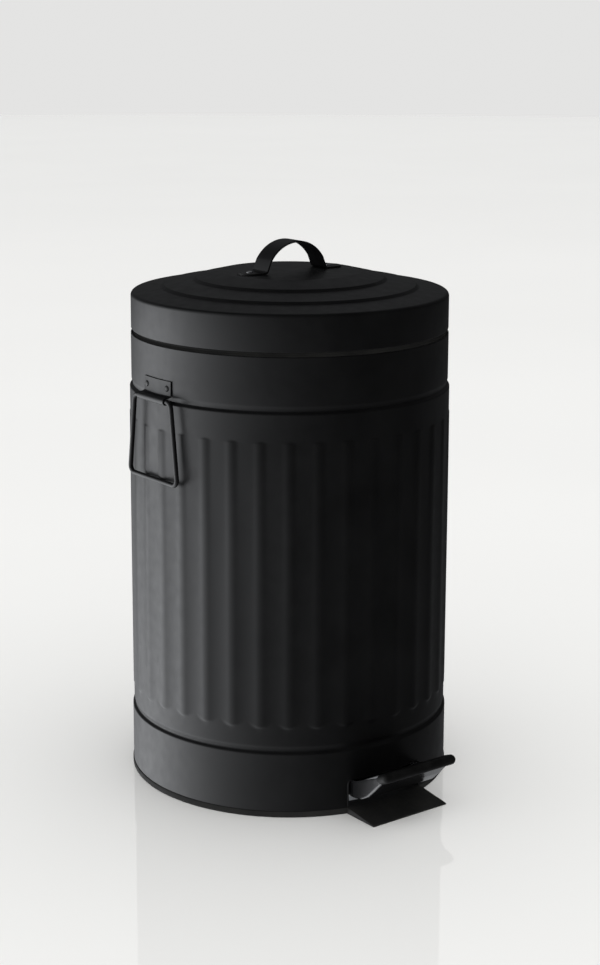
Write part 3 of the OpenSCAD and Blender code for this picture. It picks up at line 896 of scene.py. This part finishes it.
def quarter(radius, height, steps):
    """Points (r, z) of a dome's outline, from its rim to its crown on the axis."""
    turns = [math.pi / 2 * k / steps for k in range(steps)]
    return [(radius * math.cos(a), height * math.sin(a)) for a in turns] + [(0, height)]


def rivet_mesh(head_r, head_h, shank):
    """A domed rivet along +Z, its head above z = 0."""
    stem = [(0, -shank), (RIVET_SHANK_R, -shank), (RIVET_SHANK_R, 0), (head_r - 0.15, 0)]
    return lathe("rivet", stem + quarter(head_r, head_h, 8), 32, 40)


def radial_rivets(name, body, node, radius, shank, places):
    """Rivets that point away from the can's axis; places are (azimuth, z)."""
    rivets = []
    for azimuth, z in places:
        rivet = place(rivet_mesh(*WALL_HEAD, shank), (radius, 0, z), math.pi / 2, "Y")
        rivets.append(place(rivet, turn=azimuth))
    finish_piece(joined(name, rivets, 40), PAINT, body, "painted_steel", node)


def build_rivets():
    head_z = DISC_Z + STRAP_T + 0.08
    heads = [place(rivet_mesh(*STRAP_HEAD, 2.4), (s * FOOT_REACH, 0, head_z)) for s in (-1, 1)]
    finish_piece(joined("strap_rivets", heads, 40), RIVET, "lid", "bright_rivet", "lid_handle_rivets")
    rear = math.pi / 2
    radial_rivets("side_rivets", "can", "handle_rivets", BAND_R + BRACKET_T + 0.05, BRACKET_T,
                  [(side + a, RIVET_Z) for side in (0, math.pi) for a in (-RIVET_SPREAD, RIVET_SPREAD)])
    radial_rivets("hinge_rivets_domed", "can", "hinge_rivets", BAND_R + HINGE_PLATE_T + 0.05, HINGE_PLATE_T,
                  [(rear - HINGE_RIVET_SPREAD, HINGE_RIVET_Z), (rear, RIVET_Z),
                   (rear + HINGE_RIVET_SPREAD, HINGE_RIVET_Z)])
    radial_rivets("lid_plate_rivets", "lid", "lid_hinge_rivets", LID_R + HINGE_PLATE_T + 0.05,
                  HINGE_PLATE_T + 1, [(rear + a, LID_RIVET_Z) for a in (-LID_RIVET_SPREAD, LID_RIVET_SPREAD)])


# --- Side handles ----------------------------------------------------------------------------
def build_side_handle(side, body, wire_node, bracket_node):
    """Wire loop and rolled bracket on one side; side is 1 at +X and -1 at -X."""
    corners = [(LOOP_X, LOOP_HALF_TOP, LOOP_TOP), (LOOP_X, LOOP_HALF_LOW, LOOP_LOW),
               (LOOP_X, -LOOP_HALF_LOW, LOOP_LOW), (LOOP_X, -LOOP_HALF_TOP, LOOP_TOP)]
    path = bent_path(corners, LOOP_BEND, 10, closed=True)
    loop = tube(f"wire_loop_{body}", path, WIRE_R, 24, closed=True)
    bracket = build_bracket(f"bracket_{body}")
    if side < 0:
        place(loop, turn=math.pi)
        place(bracket, turn=math.pi)
    finish_piece(loop, PAINT, body, "painted_steel", wire_node)
    finish_piece(bracket, PAINT, "can", "painted_steel", bracket_node)


def build_bracket(name):
    """A plate on the body whose lower edge is rolled round the wire."""
    roll_r = WIRE_R + WIRE_PLAY + BRACKET_T
    roll_top = LOOP_TOP + roll_r
    plate_r = BAND_R + BRACKET_GAP + BRACKET_T
    # The roll starts behind the wire, goes under and over it, and runs back to the plate
    path = [(LOOP_X + roll_r * math.cos(a), LOOP_TOP + roll_r * math.sin(a))
            for a in [math.radians(150 + 300 * k / 24) for k in range(25)]]
    path += rounded([(LOOP_X, roll_top, 0), (plate_r + 0.3, roll_top + 0.2, 1.2),
                     (plate_r, BRACKET_TOP, 0)], steps=5, closed=False)[1:]
    path = [(r, min(z, BRACKET_TOP)) for r, z in path]

    def surface(across, i):
        """Straight along the wire in the roll, and curved with the body's wall in the plate."""
        r, z = path[i]
        hug = ease((z - roll_top + 0.4) / 1.6)
        flat = Vector((r, across, z))
        angle = across / plate_r
        curved = Vector((r * math.cos(angle), r * math.sin(angle), z))
        return flat.lerp(curved, hug)

    columns = [BRACKET_HALF * (k / 8 - 1) for k in range(17)]
    bracket = thick_grid(name, columns, range(len(path)), surface, BRACKET_T, sharp_deg=40)
    return soften(bracket, 0.25)


# --- Pedal -----------------------------------------------------------------------------------
def crest_z(y):
    """Upper edge of the lever's flange."""
    for (y0, z0), (y1, z1) in zip(CREST, CREST[1:]):
        if y <= y1:
            return z0 + (z1 - z0) * (y - y0) / (y1 - y0)
    return CREST[-1][1]


def build_pedal():
    """Pressed lever: a curved web with an upstanding flange at each side, cheeks, hub and rear arm."""
    belly = rounded(BELLY, steps=6, closed=False)
    half, bend = LEVER_HALF, LEVER_BEND
    # Across the lever: down one flange, round its bend, over the web, and the same up the other side
    section = [("wall", -1, t) for t in (1, 0.8, 0.6, 0.4, 0.2, 0)]
    section += [("bend", -1, a) for a in (75, 60, 45, 30, 15, 0)]
    section += [("web", 0, t) for t in (-0.6, -0.2, 0.2, 0.6)]
    section += [("bend", 1, a) for a in (0, 15, 30, 45, 60, 75)]
    section += [("wall", 1, t) for t in (0, 0.2, 0.4, 0.6, 0.8, 1)]

    def surface(k, i):
        kind, side, t = section[k]
        y, z = belly[i]
        if kind == "web":
            return t * (half - bend), y, z
        if kind == "bend":
            a = math.radians(t)
            return side * (half - bend + bend * math.sin(a)), y, z + bend * (1 - math.cos(a))
        foot = z + bend
        return side * half, y, foot + (max(crest_z(y), foot + 0.3) - foot) * t

    lever = thick_grid("lever_pressing", range(len(section)), range(len(belly)), surface, -LEVER_T,
                       sharp_deg=40)
    baked(soften(lever, 0.3))
    # The cheeks carry the hub, which turns on the axle
    cheek = rounded([(-118, 12.6, 0), (-106, 12.6, 5), (-99, 16.5, 3), (-101, 23, 3), (-112, 26, 4),
                     (-118, 26.2, 0)])
    cheeks = [place(slab("cheek", cheek, LEVER_T), (s * (half - LEVER_T / 2), 0, 0)) for s in (-1, 1)]
    bore_r, end = AXLE_R + 0.05, half - 0.2
    hub = lathe("hub", rounded([(bore_r, -end, 0.2), (HUB_R, -end, 0.4), (HUB_R, end, 0.4),
                                (bore_r, end, 0.2)], 2), 48)
    place(hub, PIVOT, math.pi / 2, "Y")
    arm_end = high("pedal_lever").y
    arm = [(-110, 19.0), (arm_end - 0.6, 9.6), (arm_end - 0.2, 12.0), (-108, 21.4)]
    arm_piece = baked(soften(slab("arm", arm, ARM_W), 0.4))
    whole = joined("lever_pressing", [lever, *cheeks, hub, arm_piece], 40)
    finish_piece(whole, ENAMEL, "pedal", "gloss_enamel", "pedal_lever")


def build_pad():
    """Rubber bar with a long round section and domed ends, tilted to meet the shoe."""
    end = (high("pedal_pad").x - low("pedal_pad").x) / 2 - PAD_R
    dome = [PAD_R * math.cos(math.pi / 2 * k / 8) for k in range(9)]
    stations = [-end - d for d in dome] + spaced(-end, end, 2)[1:] + [end + d for d in dome[::-1]]
    sides = 40
    points, faces = [], []
    for x in stations:
        past = max(abs(x) - end, 0) / PAD_R
        r = PAD_R * math.sqrt(max(1 - past * past, 0.0009))
        for k in range(sides):
            c, d = math.cos(TAU * k / sides), math.sin(TAU * k / sides)
            points.append((x, math.copysign(PAD_FLAT, c) * min(1, abs(c) * 6) + r * c, r * d))
    for i in range(len(stations) - 1):
        a, b = i * sides, (i + 1) * sides
        for k in range(sides):
            m = (k + 1) % sides
            faces.append((a + k, a + m, b + m, b + k))
    faces.append(tuple(range(sides)))
    faces.append(tuple(range((len(stations) - 1) * sides, len(stations) * sides)))
    pad = place(make_piece("pad", points, faces, 50), PAD_MIDDLE, PAD_TILT, "X")
    finish_piece(pad, RUBBER, "pedal", "soft_rubber", "pedal_pad")


# --- Base ------------------------------------------------------------------------------------
def build_base():
    """Moulded ring with its foot, its screw bosses and the ears of the pedal's axle."""
    rim_r = LOWER_R + RIM_OUT
    wall_r = LOWER_R - SHEET - 0.1
    sheet_z = RIM_H + 0.1
    ring = lathe("base_moulding", rounded([
        (RING_LEDGE_R, 0, 0.5), (rim_r, 0, 0.9), (rim_r, RIM_H, 0.8), (wall_r, sheet_z, 0.2),
        (wall_r, RING_TOP, 0.4), (RING_IN_R, RING_TOP, 0.4), (RING_IN_R, RING_FLOOR, 0.8),
        (RING_LEDGE_R, RING_FLOOR, 0.6)], 3))
    tip, root = low("base_ring").y, -LOWER_R
    foot = rounded([(tip, 0, 0.3), (tip, FOOT_TIP_H, 0.5), (root, sheet_z, 0.8), (root + 8, sheet_z, 0),
                    (root + 8, 0, 0)], 4)
    boolean(ring, baked(soften(slab("foot", foot, FOOT_W), 0.6)), "UNION")
    y, z = PIVOT.y, PIVOT.z
    ear = rounded([(y - 8, 0, 0), (y + 10, 0, 0), (y + 10, z + 4, 6), (y + 4, z + 8, 4), (y - 4, z + 8, 4),
                   (y - 8, z + 4, 4)])
    for s in (-1, 1):
        one = place(slab("ear", ear, EAR_T), (s * EAR_X, 0, 0))
        boolean(ring, baked(soften(one, 0.4)), "UNION")
    boss = rounded([(SCREW_R, SCREW_HEAD_H, 0), (SCREW_HEAD_R, SCREW_HEAD_H, 0), (SCREW_HEAD_R, 0.05, 0),
                    (BOSS_R, 0.05, 0.4), (BOSS_R, RING_TOP, 0.4), (SCREW_R, RING_TOP, 0.2)], 2)
    for azimuth in map(math.radians, BOSS_ANGLES):
        spot = (BOSS_RING_R * math.cos(azimuth), BOSS_RING_R * math.sin(azimuth), 0)
        boolean(ring, place(lathe("boss", boss, 48), spot), "UNION")
    boolean(ring, block_cutter(WINDOW_HALF, root - 1.5, root + 12.5, RING_FLOOR, RING_FLOOR + 60))
    boolean(ring, bore_cutter(AXLE_R + 0.02, 50, PIVOT))
    finish_piece(ring, PLASTIC, "can", "black_plastic", "base_ring")


def build_neck():
    """Ring in the body's mouth: a collar that fills the gap under the lid, and a ledge for the bucket."""
    outer = BAND_R - 2 * SHEET - 0.3
    inner = outer - NECK_T
    ring = lathe("neck_moulding", rounded([
        (LEDGE_R, LEDGE_LOW, 0.3), (inner, LEDGE_LOW, 0.8), (inner, NECK_LOW, 0.4), (outer, NECK_LOW, 0.4),
        (outer, LEDGE_LOW + 1, 0.4), (outer - 1.4, LEDGE_TOP + 0.5, 0.6), (COLLAR_R, COLLAR_TOP, 0.6),
        (COLLAR_R - NECK_T, COLLAR_TOP, 0.6), (inner - 1.4, LEDGE_TOP, 0.8), (LEDGE_R, LEDGE_TOP, 0.3)], 3))
    boolean(ring, block_cutter(NOTCH_HALF, 104, 134, 330, 390))
    finish_piece(ring, PLASTIC, "can", "black_plastic", "neck_ring")


# --- Bucket, bail and rod --------------------------------------------------------------------
def build_bucket():
    """Tapered bucket with a raised bottom, a lipped rim and a lug for each end of its bail."""
    low_z = low("bucket").z
    bottom_z = low_z + RECESS_H
    rim_low, rim_top = BUCKET_RIM_Z, BUCKET_RIM_Z + BUCKET_RIM_H
    bucket = lathe("bucket_moulding", rounded([
        (0, bottom_z, 0), (RECESS_R, bottom_z, 3), (RECESS_R + 4, low_z, 2), (BUCKET_FOOT_R, low_z, 3.5),
        (BUCKET_TOP_R, rim_low, 0.5), (BUCKET_RIM_R, rim_low, 0.5), (BUCKET_RIM_R, rim_top, 0.9),
        (BUCKET_TOP_R - BUCKET_T, rim_top, 1.2), (BUCKET_FOOT_R - 1, low_z + 4, 4),
        (RECESS_R + 2, low_z + 4, 2), (0, bottom_z + BUCKET_T, 0)], 4))
    half, top = LUG_HALF, BAIL_Z + 5.8
    lug = rounded([(-half, rim_low + 1, 0), (half, rim_low + 1, 0), (half, BAIL_Z + 1.6, 3),
                   (half - 1.8, top, 3), (1.8 - half, top, 3), (-half, BAIL_Z + 1.6, 3)], 5)
    for s in (-1, 1):
        one = place(slab("lug", lug, LUG_T), (s * LUG_X, 0, 0))
        boolean(bucket, baked(soften(one, 0.4)), "UNION")
    boolean(bucket, bore_cutter(BAIL_WIRE_R + 0.05, 120, (0, 0, BAIL_Z)))
    finish_piece(bucket, BUCKET_PLASTIC, "bucket", "bucket_plastic", "bucket")


def build_bail():
    """Wire bail laid forwards over the bucket's rim, its ends turned out through the lugs."""
    r, hook, z = BAIL_R, BAIL_HOOK, BAIL_Z
    right = [(BAIL_END, 0, z)]
    right += bent_path([(r + hook, 0, z), (r, 0, z), (r, -hook, z)], hook - 0.01, 6)[1:-1]
    arc = [(r * math.cos(a), r * math.sin(a) - hook, z) for a in [-math.pi * k / 60 for k in range(61)]]
    left = [(-x, y, height) for x, y, height in reversed(right)]
    bail = tube("bail_wire", right + arc + left, BAIL_WIRE_R, 20)
    finish_piece(bail, ZINC, "bail", "zinc_steel", "bucket_bail")


def build_rod():
    """Lift rod: a cross bar over the lever's arm, a run to the rear wall, and up to a domed tip."""
    bar_y = low("lift_rod").y + ROD_R + 0.02
    bar_z = low("lift_rod").z + ROD_R + 0.02
    top_z = high("lift_rod").z - ROD_R - 0.02
    run = bent_path([(0, bar_y, bar_z), (0, ROD_Y, bar_z), (0, ROD_Y, top_z)], ROD_BEND, 10)
    rod = tube("rod_run", run, ROD_R, 24)
    tip = place(lathe("tip", [(0, 0)] + quarter(ROD_R, ROD_R, 6), 24), (0, ROD_Y, top_z))
    cross = tube("cross", [(-ROD_CROSS_HALF, bar_y, bar_z), (ROD_CROSS_HALF, bar_y, bar_z)], ROD_R, 24)
    finish_piece(joined("rod_wire", [rod, cross, tip], 40), ZINC, "rod", "zinc_steel", "lift_rod")


# --- CAD nodes that keep their own shape -----------------------------------------------------
def dress_cad_nodes():
    """Gives the small CAD pieces soft edges and their procedural materials."""
    looks = {
        "bottom_plate": (ZINC, 0.2), "base_screws": (ZINC, 0.25), "lid_bumpers": (RUBBER, 0.5),
        "hinge_bracket": (PAINT, 0.3), "hinge_pin": (ZINC, 0.3), "rod_guide_lower": (PLASTIC, 0.4),
        "rod_guide_upper": (PLASTIC, 0.4), "pedal_axle": (ZINC, 0.3), "lid_hinge_plate": (PAINT, 0.3)}
    for node, (material, width) in looks.items():
        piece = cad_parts[node]
        for material_slot in piece.material_slots:
            material_slot.material = material
        soften(piece, width, 2)


add_camera()
add_studio()
build_body()
build_lid()
build_strap()
build_rivets()
build_side_handle(-1, "left_handle", "handle_left", "handle_bracket_left")
build_side_handle(1, "right_handle", "handle_right", "handle_bracket_right")
build_pedal()
build_pad()
build_base()
build_neck()
build_bucket()
build_bail()
build_rod()
dress_cad_nodes()
